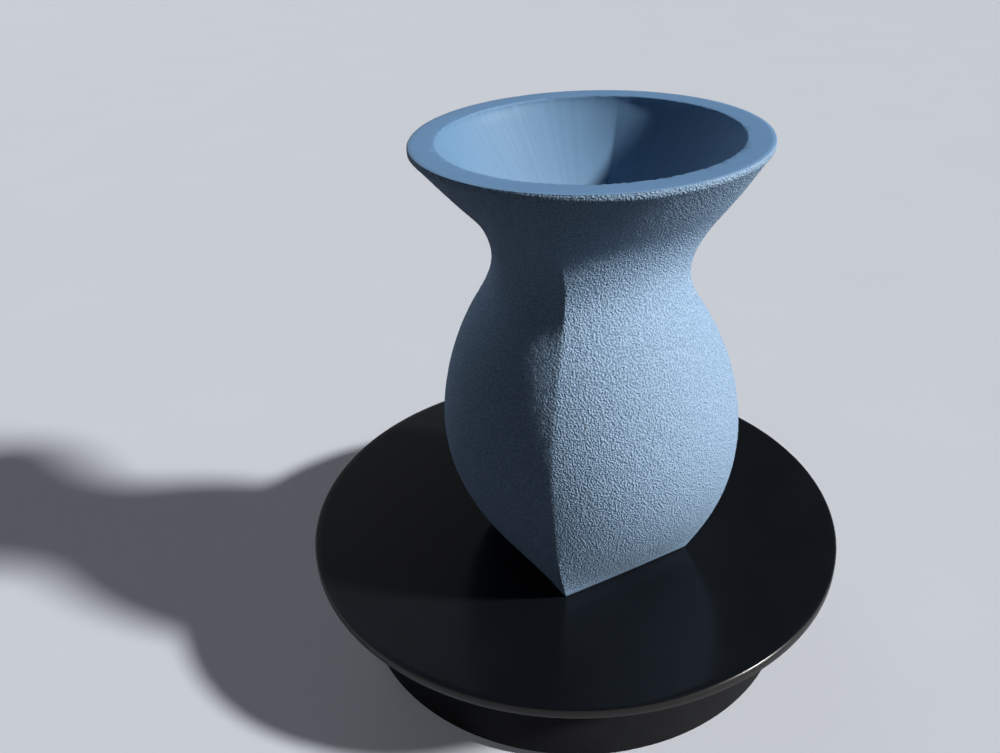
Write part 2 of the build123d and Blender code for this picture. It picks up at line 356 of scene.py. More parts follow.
class VaseSettings(bpy.types.PropertyGroup):
    """Sizes and colours of the vase."""

    foot_radius: length("Foot", "From the vase's axis to a corner of its square foot", 0.0475)
    belly_radius: length("Belly", "From the axis to a corner at the belly", 0.067)
    neck_radius: length("Neck", "From the axis to a corner at the neck", 0.0425)
    lip_radius: length("Lip", "Radius of the round lip", 0.071)
    belly_height: length("Belly height", "Height of the widest place above the foot", 0.071)
    neck_height: length("Neck height", "Height of the narrowest place above the foot", 0.145)
    lip_band: length("Lip band", "Height of the upright band under the lip's flat top", 0.0022)
    wall: length("Wall", "From the outer to the inner corner radius", 0.011)
    floor: length("Floor", "Thickness of the vase's floor", 0.008)
    burr: length("Burr", "Height of the tallest burr on the mouth's inner edge", 0.0008)
    turn: angle("Turn", "Angle of the square foot's corners from the X and Y axes", -13.5)
    row_height: length("Row height", "Distance between the rows of grains on the outer wall", 0.00105)
    segments: count("Segments", "Grains around the vase, a multiple of four", 320, 32, 400)
    grain_depth: length("Grain depth", "How far the wall's grain stands in and out", 0.00006)
    grain_width: length("Grain width", "Width of one grain of the fine relief", 0.00078)
    smooth_foot: length("Smooth foot", "Height over which the grain fades in above the foot", 0.005)
    seed: count("Seed", "Seed of the grain and the burrs", 4, 0, 1000)
    # Painted light and shade: the tip colour is lighter and the pit colour darker, as the grain's
    # relief would be lit and shaded. Both are paler than the lip, partly for the fuzz's own paler look
    # and partly as painted sheen.
    lit_grain_tip: tint("Grain tips", "Colour of the tips of the grain", (0.35, 0.5, 0.69))
    shaded_grain_pit: tint("Grain pits", "Colour between the grains", (0.21, 0.33, 0.49))
    lip_colour: tint("Lip", "Colour of the smooth lip", (0.13, 0.26, 0.455))
    inside_colour: tint("Inside", "Colour of the inner wall", (0.13, 0.248, 0.40))


class StandSettings(bpy.types.PropertyGroup):
    """Sizes and colours of the plate and the stand."""

    edge_chamfer: length("Upper chamfer", "Chamfer at the plate's upper edge", 0.0008)
    foot_chamfer: length("Lower chamfer", "Chamfer at the plate's lower edge", 0.0016)
    plate_segments: count("Segments", "Facets around the plate", 288, 48, 720)
    glass_colour: tint("Glass", "Colour of the black glass", (0.0045, 0.0058, 0.008))
    edge_colour: tint("Ground edge", "Colour of the plate's ground rim", (0.014, 0.0135, 0.0125))
    plastic_colour: tint("Plastic", "Colour of the moulded base", (0.011, 0.0115, 0.0125))
    metal_colour: tint("Carrier", "Colour of the anodised carrier", (0.035, 0.036, 0.04))
    rubber_colour: tint("Rubber", "Colour of the feet", (0.028, 0.028, 0.029))
    zinc_colour: tint("Screws", "Colour of the zinc-plated screws", (0.6, 0.61, 0.63))


class StageSettings(bpy.types.PropertyGroup):
    """The floor, the lights and the camera."""

    floor_colour: tint("Floor", "Colour of the floor and the backdrop", (0.56, 0.592, 0.655))
    bounce_colour: tint("Bounce", "Colour of the floor as it lights the object", (0.055, 0.059, 0.068))
    floor_radius: length("Flat floor", "Radius of the flat part of the floor", 3.4)
    bend_radius: length("Bend", "Radius of the bend between the floor and the wall", 1.8)
    wall_height: length("Wall", "Height of the wall round the floor", 7.0)
    key_strength: strength("Key", "Key light in watts for each square metre", 5.05)
    key_side: angle("Key side", "Where the key light comes from, measured from the right", -14.0)
    key_rise: angle("Key rise", "How high the key light stands", 32.0)
    key_spread: angle("Key spread", "How wide the key light looks from the object", 5.5)
    fill_strength: strength("Fill", "Light from behind in watts for each square metre", 0.5)
    fill_side: angle("Fill side", "Where the fill light comes from, measured from the right", 113.0)
    fill_rise: angle("Fill rise", "How high the fill light stands", 29.0)
    fill_spread: angle("Fill spread", "How wide the fill light looks from the object", 30.0)
    sky: strength("Sky", "Strength of the even light from all sides", 0.03)
    eye: bpy.props.FloatVectorProperty(
        name="Camera",
        description="Where the camera stands",
        default=(0.0, -0.3863, 0.35975),
        subtype="TRANSLATION",
        unit="LENGTH",
        size=3,
    )
    pitch: angle("Pitch", "How far the camera looks down", 30.04)
    yaw: angle("Yaw", "How far the camera looks to the left", 4.834)
    roll: angle("Roll", "How far the camera leans", 2.967)
    lens: bpy.props.FloatProperty(
        name="Lens", description="Focal length in millimetres", default=33.94, unit="CAMERA"
    )


# ---------------------------------------------------------------- vase
def through(stations, count):
    """Points of the natural cubic spline through these stations, evenly spread along it."""
    knots = np.array(stations, float)
    gaps = np.linalg.norm(np.diff(knots, axis=0), axis=1)
    along = np.concatenate([[0], np.cumsum(gaps)])
    number = len(knots)
    system = np.zeros((number, number))
    known = np.zeros_like(knots)
    system[0, 0] = system[-1, -1] = 1
    for i in range(1, number - 1):
        before, after = gaps[i - 1], gaps[i]
        system[i, i - 1 : i + 2] = before, 2 * (before + after), after
        rise = (knots[i + 1] - knots[i]) / after - (knots[i] - knots[i - 1]) / before
        known[i] = 6 * rise
    bend = np.linalg.solve(system, known)
    places = np.linspace(0, along[-1], count)
    span = np.clip(np.searchsorted(along, places, side="right") - 1, 0, number - 2)
    gap = gaps[span][:, None]
    low, high = (along[span + 1] - places)[:, None], (places - along[span])[:, None]
    cubic = (bend[span] * low**3 + bend[span + 1] * high**3) / (6 * gap)
    straight = (knots[span] / gap - bend[span] * gap / 6) * low
    straight += (knots[span + 1] / gap - bend[span + 1] * gap / 6) * high
    return cubic + straight


def vase_stations(vase, height):
    """The vase's outline: corner radius, 100 times the roundness, and height, in millimetres.
    The roundness is the middle of a side over its corner."""
    foot, belly, neck, lip = (
        1000 * r for r in (vase.foot_radius, vase.belly_radius, vase.neck_radius, vase.lip_radius)
    )
    low, waist = 1000 * vase.belly_height, 1000 * vase.neck_height
    top = 1000 * (height - vase.lip_band)
    return [
        (foot, 100 * (SQUARE + 0.005), 0),
        (0.35 * foot + 0.65 * belly, 86, 0.37 * low),
        (belly, 96.5, low),
        (0.8 * belly + 0.2 * neck, 95.5, 0.62 * low + 0.38 * waist),
        (0.37 * belly + 0.63 * neck, 93, 0.3 * low + 0.7 * waist),
        (neck, 87, waist),
        (0.84 * neck + 0.16 * lip, 84.5, 0.73 * waist + 0.27 * top),
        (0.44 * neck + 0.56 * lip, 90, 0.41 * waist + 0.59 * top),
        (lip, 100, top),
    ]


def vase_row(radius, z, roundness=1, grain=0, inside=0, burr=0):
    """One row of the vase: its corner radius and height, how round it is, and how much grain,
    inner finish and burr it has."""
    return radius, z, roundness, grain, inside, burr


def vase_rows(vase, height):
    """Rows of the vase from the middle of its underside, up the outside, over the lip and down
    the inside to the middle of its floor."""
    outline_points, inner_rows = 900, 46
    crisp, soft = 0.0003, 0.0012  # the distances of the loops that round an edge
    bare_foot = 0.002  # the band above the foot that has no grain at all
    lip_rounding = 0.0008
    outline = through(vase_stations(vase, height), outline_points) / (1000, 100, 1000)
    path = np.concatenate([[0], np.cumsum(np.hypot(np.diff(outline[:, 0]), np.diff(outline[:, 2])))])

    def at(places):
        return [np.interp(places, path, outline[:, axis]) for axis in range(3)]

    # The underside and the outer wall.
    square, foot = outline[0, 1], vase.foot_radius
    rows = [vase_row(radius, 0, square) for radius in (0, foot * 0.6, foot - soft, foot - crisp)]
    outside = np.linspace(crisp, path[-1], int(path[-1] / vase.row_height))
    for radius, roundness, z in zip(*at(outside)):
        share = min(max((z - bare_foot) / vase.smooth_foot, 0.0), 1.0)
        rows.append(vase_row(radius, z, roundness, grain=share * share * (3 - 2 * share)))

    # The lip, with the grain fading out round its outer edge.
    lip, top = vase.lip_radius, height
    rows.append(vase_row(lip, top - 0.0013, grain=1))
    for x, z in rounded_corner((lip, top), lip_rounding, (0, -1), (-1, 0), 3):
        rows.append(vase_row(x, z, grain=0.9 if z < top - 0.0001 else 0.25))
    mouth = lip - vase.wall
    rows += [vase_row(radius, top) for radius in (lip - 0.0018, lip - 0.004, mouth + 0.0035)]

    # The mouth's inner edge, where the burrs stand.
    rows.append(vase_row(mouth + 0.0009, top, burr=0.3))
    rows.append(vase_row(mouth + 0.0002, top - 0.00003, inside=0.3, burr=1))
    rows.append(vase_row(mouth, top - crisp, inside=1, burr=0.7))
    rows.append(vase_row(mouth, top - 0.001, inside=1))

    # The inner wall and the floor.
    inner_path = np.interp(vase.floor, outline[:, 2], path)
    inside = np.linspace(path[-1] - 0.0005, inner_path + soft, inner_rows)
    for radius, roundness, z in zip(*at(inside)):
        rows.append(vase_row(radius - vase.wall, z, roundness, inside=1))
    radius, roundness, z = (axis[0] for axis in at(np.array([inner_path])))
    radius -= vase.wall
    rows.append(vase_row(radius - 0.0002, z + 0.0002, roundness, inside=1))
    rows += [vase_row(r, z, roundness, inside=1) for r in (radius - 0.0015, radius * 0.5, 0)]
    return rows


def vase_tree():
    """Sweeps a column of rows round a section that goes from a square to a circle. Each side of
    the section is the cubic that follows the arc through two corners and a side's middle."""
    nodes, given = geometry_tree(
        "square_to_round_body",
        [
            ("Segments", "NodeSocketInt", 320),
            ("Turn", "NodeSocketFloat", 0.0),
            ("Foot", "NodeSocketVector", None),
            ("Grain Depth", "NodeSocketFloat", 0.0001),
            ("Burr", "NodeSocketFloat", 0.0003),
            ("Seed", "NodeSocketInt", 0),
            ("Material", "NodeSocketMaterial", None),
        ],
    )
    column = given["Geometry"]
    rows = nodes.add("GeometryNodeAttributeDomainSize", {}, {0: column}, "Point Count")
    grid_size = {"Vertices X": given["Segments"] + 1, "Vertices Y": rows}
    grid = nodes.add("GeometryNodeMeshGrid", {}, grid_size)
    # The grid's points are numbered up each column: row counts up it, and share goes from 0 to 4
    # round the four sides.
    index = nodes.add("GeometryNodeInputIndex")
    row = index % rows
    share = (index / rows).floor() / given["Segments"] * 4

    def named(name):
        settings = {"data_type": "FLOAT"}
        return nodes.add("GeometryNodeInputNamedAttribute", settings, {"Name": name})

    def from_row(value, kind="FLOAT"):
        inputs = {"Geometry": column, "Value": value, "Index": row}
        return nodes.add("GeometryNodeSampleIndex", {"data_type": kind}, inputs)

    position = nodes.add("GeometryNodeInputPosition")
    radius, _, height = nodes.split(from_row(position, "FLOAT_VECTOR"))
    swell = from_row(named("roundness")) - SQUARE
    # A side is a cubic from corner to corner, with longer handles the rounder its row is.
    side = share.floor()
    step = share - side
    chord = radius * math.sqrt(2)
    handle = chord / 3 * (1 - swell * swell * 2)
    rest = 1 - step
    forward = rest * rest * step * 3 * handle
    forward = forward + rest * step * step * 3 * (chord - handle) + step**3 * chord
    outward = radius * swell * 4 * step * rest
    flat = nodes.joined(radius + (outward - forward) * SQUARE, (forward + outward) * SQUARE, height)
    angle = side * (math.pi / 2) + given["Turn"]
    inputs = {"Vector": flat, "Angle": angle}
    turned = nodes.add("ShaderNodeVectorRotate", {"rotation_type": "Z_AXIS"}, inputs)
    placed = nodes.vector("ADD", turned, given["Foot"])
    body = nodes.add("GeometryNodeSetPosition", {}, {"Geometry": grid, "Position": placed})
    for name in ("grain", "inside", "burr"):
        inputs = {"Geometry": body, "Name": name, "Value": from_row(named(name))}
        settings = {"data_type": "FLOAT", "domain": "POINT"}
        body = nodes.add("GeometryNodeStoreNamedAttribute", settings, inputs)
    body = nodes.add("GeometryNodeMergeByDistance", {}, {"Geometry": body, "Distance": 0.00001})
    body = nodes.add("GeometryNodeFlipFaces", {}, {"Mesh": body})

    def chance(seed):
        """A random number from 0 to 1 at each point, by the sockets that floats use."""
        inputs = {"Min": 0.0, "Max": 1.0, "Seed": seed}
        node = nodes.add("FunctionNodeRandomValue", {"data_type": "FLOAT"}).socket.node
        for socket in node.inputs:
            if socket.enabled and socket.name in inputs:
                nodes.put(inputs[socket.name], socket)
        return Value(nodes, next(s for s in node.outputs if s.enabled))

    normal = nodes.add("GeometryNodeInputNormal")
    grain = (chance(given["Seed"]) * 2 - 1) * given["Grain Depth"] * named("grain")
    few_tall = 9.0  # the power that leaves most burrs low and a few tall
    burr = chance(given["Seed"] + 7) ** few_tall * given["Burr"] * named("burr")
    lifted = nodes.scaled(normal, grain + burr)
    body = nodes.add("GeometryNodeSetPosition", {}, {"Geometry": body, "Offset": lifted})
    body = nodes.add("GeometryNodeSetShadeSmooth", {}, {"Geometry": body})
    finish_tree(nodes, body, given["Material"])
    return nodes.tree


def printed_blue(vase, centre):
    """Blue filament: a fine grain outside with painted light on its tips and painted shade in its
    pits, and a smooth lip and inner wall whose streaks are partly painted shade.
    """
    print_line = 0.00045  # the width of one printed line on the lip
    finish = Finish("printed_blue", ior=1.46, specular_ior_level=0.35)
    places = finish.places(centre)
    grain_zone = finish.attribute("grain")
    inside = finish.attribute("inside")
    scale = 1 / vase.grain_width
    coarse = finish.noise(places, scale, 0.0, 0.5)
    crystals = finish.cells(places, scale * 0.9)
    fine = finish.noise(places, scale * 2.1, 1.0, 0.6)
    grain = coarse * 0.55 + fine * 0.25 + (0.8 - crystals) * 0.28
    tips = finish.stepped(grain, 0.3, 0.66)

    x, y, z = finish.split(places)
    flat = finish.joined(x, y, 0.0)
    direction = finish.vector("NORMALIZE", flat)
    reach = finish.vector("LENGTH", flat, output="Value")
    streaks = finish.noise(direction, 26.0, 3.0, 0.65)
    rings = (reach * (2 * math.pi / print_line)).sine() * 0.5 + 0.5
    cloud = finish.noise(places, 38.0, 2.0, 0.5)

    # Painted light and shade: the grain's tips get the lit colour and its pits the shaded one.
    wall = finish.mixed(tips, vase.shaded_grain_pit, vase.lit_grain_tip)
    lip = finish.mixed(cloud, vase.lip_colour, scaled_colour(vase.lip_colour, 1.12))
    # The streaks stand for the inner wall's facets: the relief bumps them, and the colour is also
    # painted lighter and darker along them as painted light and shade.
    pale = scaled_colour(vase.inside_colour, 1.03)
    dark = scaled_colour(vase.inside_colour, 0.96)
    inner = finish.mixed(finish.stepped(streaks, 0.36, 0.64), dark, pale)
    # The smooth foot mixes the painted lit and shaded grain colours at random, without the relief.
    smooth_foot = finish.mixed(cloud, vase.shaded_grain_pit, vase.lit_grain_tip)
    low = 1 - finish.stepped(z, 0.002, 0.008)
    smooth = finish.mixed(low, lip, smooth_foot)
    colour = finish.mixed(grain_zone, smooth, wall)
    colour = finish.mixed(inside, colour, inner)
    roughness = 0.46 + grain_zone * 0.26 + inside * 0.14 + (cloud - 0.5) * 0.1
    finish.wear(colour, roughness)
    smooth_height = inside * (streaks * 0.06) + (1 - inside) * (rings * 0.012 + fine * 0.03)
    finish.relief(grain_zone * grain + (1 - grain_zone) * smooth_height, 0.0009)
    return finish.material


class VASE_OT_body(bpy.types.Operator):
    """Build the vase: a square foot that turns into a round, flared lip"""

    bl_idname = "vase.body"
    bl_label = "Vase"

    def execute(self, context):
        vase = context.scene.vase_settings
        centre = (vase_low + vase_high) / 2
        foot = Vector((centre.x, centre.y, vase_low.z))
        rows = vase_rows(vase, vase_high.z - vase_low.z)
        points = [(row[0], 0.0, row[1]) for row in rows]
        column = new_mesh("vase_column", points, [])
        for place, name in ((2, "roundness"), (3, "grain"), (4, "inside"), (5, "burr")):
            layer = column.data.attributes.new(name, "FLOAT", "POINT")
            layer.data.foreach_set("value", [float(row[place]) for row in rows])
        values = {
            "Segments": vase.segments,
            "Turn": vase.turn,
            "Foot": foot,
            "Grain Depth": vase.grain_depth,
            "Burr": vase.burr,
            "Seed": vase.seed,
            "Material": printed_blue(vase, foot),
        }
        run_tree(column, vase_tree(), values)
        body = as_plain_mesh(column, "vase_body")
        show(body, "vase", ["vase"])
        return {"FINISHED"}


# ---------------------------------------------------------------- plate and stand
def black_glass(stand, radius):
    """Black glass with a soft sheen, a few specks of dust, wiping marks and a ground rim."""
    finish = Finish("black_glass", ior=1.5, specular_ior_level=0.22, coat_roughness=0.26)
    places = finish.places()
    smears = finish.noise(places, 14.0, 4.0, 0.6)
    specks = finish.cells(places, 70.0)
    picks = finish.noise(places, 31.0, 1.0, 0.5)
    dust = (1 - finish.stepped(specks, 0.012, 0.03)) * finish.stepped(picks, 0.56, 0.6)
    wiped = scaled_colour(stand.glass_colour, 1.35)
    glass = finish.mixed(finish.stepped(smears, 0.4, 0.7), stand.glass_colour, wiped)
    x, y, _ = finish.split(places)
    reach = finish.vector("LENGTH", finish.joined(x, y, 0.0), output="Value")
    ground = finish.stepped(reach, radius - 0.0004, radius - 0.0002)
    scratches = finish.noise(places, 900.0, 2.0, 0.6)
    edge = finish.mixed(scratches, scaled_colour(stand.edge_colour, 0.75), stand.edge_colour)
    glass = finish.mixed(ground, glass, edge)
    dust_colour = (0.16, 0.17, 0.18)
    rough = 0.16 + smears * 0.1 + dust * 0.5 + ground * 0.26
    finish.wear(finish.mixed(dust, glass, dust_colour), rough)
    finish.put(ground * 0.6, finish.shader.inputs["Coat Weight"])
    return finish.material


def moulded(name, colour, scale, depth, roughness):
    """Moulded plastic, rubber or silicone with a fine even texture."""
    finish = Finish(name, ior=1.48, specular_ior_level=0.12)
    places = finish.places()
    texture = finish.noise(places, scale, 2.0, 0.6)
    cloud = finish.noise(places, 22.0, 3.0, 0.55)
    shade = finish.mixed(finish.stepped(cloud, 0.35, 0.7), colour, scaled_colour(colour, 1.45))
    finish.wear(shade, roughness + (texture - 0.5) * 0.16)
    finish.relief(texture, depth)
    return finish.material


def turned_metal(name, colour, pitch, roughness):
    """Metal with the rings that a lathe leaves, at this pitch."""
    ring_depth = 0.00003
    finish = Finish(name, metallic=1.0)
    places = finish.places()
    x, y, _ = finish.split(places)
    reach = finish.vector("LENGTH", finish.joined(x, y, 0.0), output="Value")
    rough = finish.noise(places, 55.0, 3.0, 0.6)
    rings = (reach * (2 * math.pi / pitch) + rough * 2.0).sine() * 0.5 + 0.5
    shade = finish.mixed(finish.stepped(rough, 0.3, 0.75), colour, scaled_colour(colour, 0.78))
    finish.wear(shade, roughness + (rings - 0.5) * 0.1)
    finish.relief(rings, ring_depth, 0.5)
    return finish.material


def grainy_metal(name, colour, scale, roughness, depth, metallic=1.0):
    """Cast, sintered or plated metal with a random grain, and pores painted darker as painted shade.
    """
    finish = Finish(name, metallic=metallic)
    places = finish.places()
    grain = finish.noise(places, scale, 3.0, 0.6)
    shaded_pores = finish.cells(places, scale * 0.6)
    # Painted shade: the pores are darker only in colour, as if shaded in their hollows; the relief
    # follows the grain, not the pores.
    shade = finish.mixed(finish.stepped(shaded_pores, 0.1, 0.45), scaled_colour(colour, 0.6), colour)
    finish.wear(shade, roughness + (grain - 0.5) * 0.2)
    finish.relief(grain, depth)
    return finish.material


class VASE_OT_plate(bpy.types.Operator):
    """Build the round glass plate with its ground, chamfered edge"""

    bl_idname = "vase.plate"
    bl_label = "Glass plate"

    def execute(self, context):
        stand = context.scene.stand_settings
        radius = (plate_high.x - plate_low.x) / 2
        low, high = plate_low.z, plate_high.z
        upper, lower = stand.edge_chamfer, stand.foot_chamfer
        near = 0.00012  # from an edge to the loops that round it
        slant = near * 0.7
        flat = 0.003  # from a chamfer to the loop that keeps the faces beside it flat
        rings = [(0, low), (radius * 0.5, low), (radius - lower - flat, low)]
        rings += [(radius - lower - near, low), (radius - lower + slant, low + slant)]
        rings += [(radius - slant, low + lower - slant), (radius, low + lower + near)]
        rings += [(radius, high - upper - near), (radius - slant, high - upper + slant)]
        rings += [(radius - upper + slant, high - slant), (radius - upper - near, high)]
        rings += [(radius - upper - flat, high), (radius * 0.5, high), (0, high)]
        plate = turned_mesh("glass_disc", rings, stand.plate_segments)
        plate.data.materials.append(black_glass(stand, radius))
        show(plate, "platter", ["glass_plate"])
        return {"FINISHED"}


class VASE_OT_stand(bpy.types.Operator):
    """Finish the base, the cover under it and the carrier that turns under the plate"""

    bl_idname = "vase.stand"
    bl_label = "Base and carrier"

    def execute(self, context):
        stand = context.scene.stand_settings
        cover_colour = scaled_colour(stand.plastic_colour, 1.4)
        coat("base_housing", moulded("moulded_base", stand.plastic_colour, 1400.0, 0.00012, 0.5))
        coat("bottom_cover", moulded("moulded_cover", cover_colour, 900.0, 0.0001, 0.58))
        coat("plate_carrier", turned_metal("anodised_carrier", stand.metal_colour, 0.0007, 0.34))
        return {"FINISHED"}


# ---------------------------------------------------------------- pieces on circles
def circle_tree():
    """Places copies of one piece evenly on a circle."""
    nodes, given = geometry_tree(
        "pieces_on_a_circle",
        [
            ("Piece", "NodeSocketObject", None),
            ("Count", "NodeSocketInt", 4),
            ("Circle Radius", "NodeSocketFloat", 0.05),
            ("First Angle", "NodeSocketFloat", 0.0),
            ("Height", "NodeSocketFloat", 0.0),
            ("Material", "NodeSocketMaterial", None),
        ],
    )
    inputs = {"Vertices": given["Count"], "Radius": given["Circle Radius"]}
    circle = nodes.add("GeometryNodeMeshCircle", {}, inputs)
    angle = nodes.joined(0.0, 0.0, given["First Angle"])
    height = nodes.joined(0.0, 0.0, given["Height"])
    inputs = {"Geometry": circle, "Translation": height, "Rotation": angle}
    circle = nodes.add("GeometryNodeTransform", {}, inputs)
    piece = nodes.add("GeometryNodeObjectInfo", {}, {"Object": given["Piece"]}, "Geometry")
    index = nodes.add("GeometryNodeInputIndex")
    spin = nodes.joined(0.0, 0.0, index * 1.1)
    inputs = {"Points": circle, "Instance": piece, "Rotation": spin}
    copies = nodes.add("GeometryNodeInstanceOnPoints", {}, inputs)
    finish_tree(nodes, copies, given["Material"])
    return nodes.tree


def ring_of(name, piece, count, radius, first, height, material):
    """One plain mesh of count copies of a piece, which is used up."""
    tree = bpy.data.node_groups.get("pieces_on_a_circle") or circle_tree()
    seat = new_mesh(name + "_seat", [(0.0, 0.0, 0.0)], [])
    values = {
        "Piece": piece,
        "Count": count,
        "Circle Radius": radius,
        "First Angle": first,
        "Height": height,
        "Material": material,
    }
    run_tree(seat, tree, values)
    made = as_plain_mesh(seat, name)
    bpy.data.objects.remove(piece)
    return made


def ball(radius, segments=32, rows=16):
    """A ball of its own radius, centred on the origin."""
    rings = []
    for row in range(rows + 1):
        angle = math.pi * row / rows
        around = 0 if row in (0, rows) else radius * math.sin(angle)
        rings.append((around, -radius * math.cos(angle)))
    return turned_mesh("ball_pattern", rings, segments)


def pan_screw(shank, head, head_height, length_under):
    """A pan-head screw with a hexagon socket. Its head hangs under the origin, and its shank
    goes up from there."""
    low = -head_height
    socket = shank * 0.86
    depth = low + head_height * 0.6
    rings = [(0, depth), (socket, depth, True), (socket, low + 0.00015, True)]
    rings += [(socket + 0.00012, low, True), (head * 0.62, low)]
    curve = rounded_corner((head, low), head_height * 0.5, (-1, 0), (0, 1), 5)
    rings += curve + [(head, -0.00012), (head - 0.0001, 0)]
    rings += [(shank + 0.0001, 0), (shank, 0.0001), (shank, length_under - shank * 0.4)]
    rings += [(shank * 0.6, length_under), (0, length_under)]
    return turned_mesh("pan_screw_pattern", rings, 36)


def sunk_screw(shank, head, head_height, length_under):
    """A countersunk screw with a hexagon socket. Its flat head lies in the plane through the
    origin, and its shank goes up from there."""
    socket = shank * 0.65
    depth = head_height * 0.7
    rings = [(0, depth), (socket, depth, True), (socket, 0.0001, True)]
    rings += [(socket + 0.0001, 0, True), (head - 0.0001, 0), (head, 0.0001)]
    rings += [(shank, head_height), (shank, head_height + length_under - shank * 0.4)]
    rings += [(shank * 0.6, head_height + length_under), (0, head_height + length_under)]
    return turned_mesh("sunk_screw_pattern", rings, 36)


# Node, body, the radii of the shank and the head, the head's height and the length under it.
PAN_SCREWS = (
    ("cover_screws", "base", 0.00175, 0.0034, 0.0018, 0.011),
    ("ballast_screws", "base", 0.002, 0.0036, 0.0018, 0.009),
    ("spindle_screws", "platter", 0.002, 0.0036, 0.0022, 0.008),
)
RACE_SCREW = {"shank": 0.00145, "head": 0.00275, "head_height": 0.0013, "length_under": 0.0067}
SCREW_CLEARANCE = 0.00005  # between a shank and its hole


class VASE_OT_screws(bpy.types.Operator):
    """Build the rings of screws that hold the cover, the ballast, the spindle and the races"""

    bl_idname = "vase.screws"
    bl_label = "Screws"

    def execute(self, context):
        stand = context.scene.stand_settings
        zinc = grainy_metal("zinc_plate", stand.zinc_colour, 1500.0, 0.3, 0.00002)
        for node, body, shank, head, head_height, under in PAN_SCREWS:
            low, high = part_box(node)
            pattern = pan_screw(shank - SCREW_CLEARANCE, head, head_height, under)
            height = low.z + head_height
            made = ring_of(node + "_set", pattern, 4, high.x - head, 0.0, height, zinc)
            show(made, body, [node])
        for side, body in (("upper", "platter"), ("lower", "base")):
            node = side + "_race_screws"
            low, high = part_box(node)
            pattern = sunk_screw(**RACE_SCREW)
            height = low.z
            if side == "lower":
                pattern.data.transform(Matrix.Rotation(math.pi, 4, "X"))
                height = high.z
            circle = high.x - RACE_SCREW["head"]
            made = ring_of(side + "_race_screw_set", pattern, 6, circle, 0.0, height, zinc)
            show(made, body, [node])
        return {"FINISHED"}


class VASE_OT_bearing(bpy.types.Operator):
    """Build the balls and finish the cage, the races and the spindle's pieces"""

    bl_idname = "vase.bearing"
    bl_label = "Bearing and spindle"

    def execute(self, context):
        low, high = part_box("bearing_balls")
        radius = (high.z - low.z) / 2
        middle = (high.z + low.z) / 2
        steel = grainy_metal("polished_steel", (0.78, 0.78, 0.8), 400.0, 0.1, 0.000004)
        balls = ring_of("ball_ring", ball(radius), 24, high.x - radius, 0.0, middle, steel)
        show(balls, "cage", ["bearing_balls"])
        coat("ball_cage", grainy_metal("stamped_brass", (0.7, 0.5, 0.22), 260.0, 0.36, 0.00003))
        race = turned_metal("ground_race", (0.58, 0.58, 0.6), 0.0004, 0.22)
        coat("upper_race", race)
        coat("lower_race", race)
        shaft = turned_metal("turned_shaft", (0.55, 0.55, 0.57), 0.0005, 0.28)
        for node in ("spindle", "spindle_nut", "spindle_washer"):
            coat(node, shaft)
        coat("spindle_bush", grainy_metal("sintered_bush", (0.44, 0.3, 0.15), 1800.0, 0.45, 0.00008))
        coat("ballast_ring", grainy_metal("cast_ballast", (0.1, 0.1, 0.105), 900.0, 0.62, 0.0003, 0.8))
        return {"FINISHED"}


class VASE_OT_soft(bpy.types.Operator):
    """Build the rubber feet and the silicone pads under the glass"""

    bl_idname = "vase.soft"
    bl_label = "Feet and pads"

    def execute(self, context):
        stand = context.scene.stand_settings
        low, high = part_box("feet")
        height = high.z - low.z
        upper, lower, recess = 0.011, 0.01, 0.006
        rings = [(0, 0.0005), (recess, 0.0005), (recess + 0.0004, 0.0), (lower - 0.0008, 0.0)]
        rings += rounded_corner((lower, 0), 0.0006, (-1, 0), (0.2, 1), 4)
        rings += [(upper - 0.0001, height - 0.0004), (upper - 0.0003, height), (0, height)]
        rubber = moulded("foot_rubber", stand.rubber_colour, 700.0, 0.00015, 0.78)
        pattern = turned_mesh("foot_pattern", rings, 48)
        circle = (high.x - upper) * math.sqrt(2)
        feet = ring_of("foot_set", pattern, 4, circle, math.pi / 4, low.z, rubber)
        show(feet, "base", ["feet"])
        low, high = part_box("plate_pads")
        height = high.z - low.z
        pad = 0.009
        rings = [(0, 0), (pad - 0.0002, 0), (pad, 0.0002), (pad, height - 0.0003)]
        rings += [(pad - 0.0003, height), (0, height)]
        silicone = moulded("clear_silicone", (0.34, 0.35, 0.36), 500.0, 0.00005, 0.42)
        pattern = turned_mesh("pad_pattern", rings, 36)
        pads = ring_of("pad_set", pattern, 6, high.x - pad, 0.0, low.z, silicone)
        show(pads, "platter", ["plate_pads"])
        return {"FINISHED"}


# ---------------------------------------------------------------- stage
def direction_to(side, rise):
    """The direction at this angle from the right and this height over the floor."""
    level = math.cos(rise)
    return Vector((math.cos(side) * level, math.sin(side) * level, math.sin(rise)))


def sunlight(name, strength, spread, towards, colour):
    """Even light that comes from this direction, so that the floor is lit alike everywhere."""
    lamp = bpy.data.lights.new(name, "SUN")
    lamp.energy = strength
    lamp.angle = spread
    lamp.color = colour
    made = bpy.data.objects.new(name, lamp)
    made.location = towards
    made.rotation_euler = (-towards).to_track_quat("-Z", "Y").to_euler()
    bpy.context.scene.collection.objects.link(made)
    return made


def bowl_mesh(name, flat, bend, top):
    """A round floor that bends up into a wall."""
    steps, segments = 12, 96
    rings = [(0.001, 0.0), (0.5, 0.0), (flat, 0.0)]
    for step in range(1, steps + 1):
        turn = math.pi / 2 * step / steps
        rings.append((flat + bend * math.sin(turn), bend * (1 - math.cos(turn))))
    rings.append((flat + bend, top))
    points, faces = [], []
    for radius, height in rings:
        for step in range(segments):
            turn = 2 * math.pi * step / segments
            points.append((radius * math.cos(turn), radius * math.sin(turn), height))
    for ring in range(len(rings) - 1):
        inner, outer = ring * segments, (ring + 1) * segments
        for step in range(segments):
            after = (step + 1) % segments
            faces.append((inner + step, outer + step, outer + after, inner + after))
    return new_mesh(name, points, faces)


